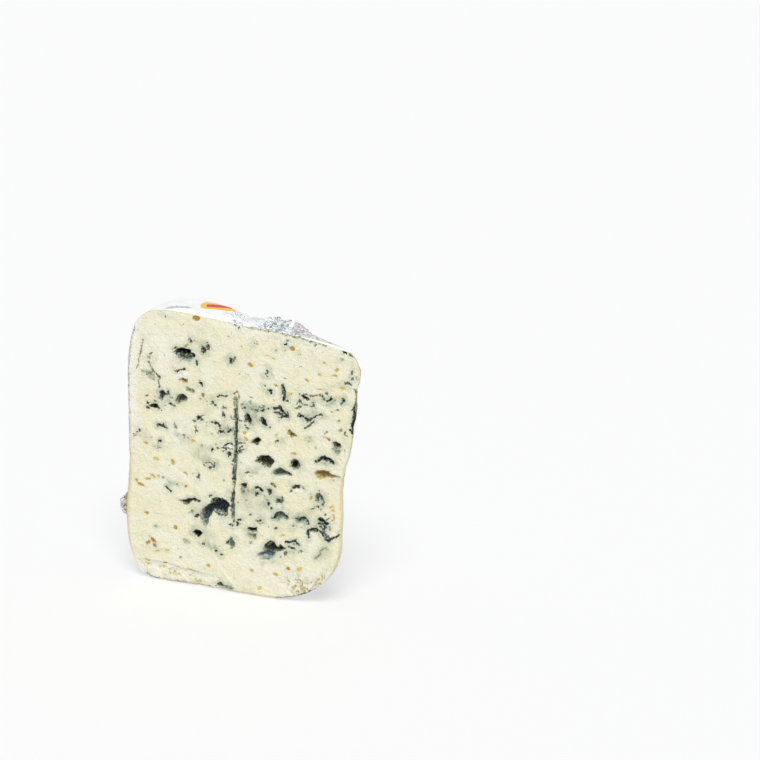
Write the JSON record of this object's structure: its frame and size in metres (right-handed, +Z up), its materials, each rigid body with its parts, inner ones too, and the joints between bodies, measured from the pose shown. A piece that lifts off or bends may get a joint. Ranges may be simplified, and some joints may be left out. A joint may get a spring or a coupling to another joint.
{
  "type": "cheese wedge",
  "caption": "Upright wedge of blue-veined cheese with a bare, pitted cut face, still wearing the printed foil of the wheel it was cut from.",
  "frame": {"origin": "middle of the footprint's bounding box, on the surface the wedge stands on", "axes": "+Z up; the bare cut face looks towards -Y; the heel, the wheel's old rim, is towards -X and the tip, at the wheel's axis, towards +X"},
  "size_m": [0.102, 0.0366, 0.1123],
  "materials": {
    "paste": "moist, smooth-cut ivory paste, crumbly at its edges, with slate-green mould in its cavities",
    "printed_foil": "creased thin foil, satin white with faint grey-green line print outside, bare silver inside"
  },
  "bodies": {
    "root": {"cheese": "paste", "foil_wrapper": "printed_foil"}
  },
  "joints": []
}
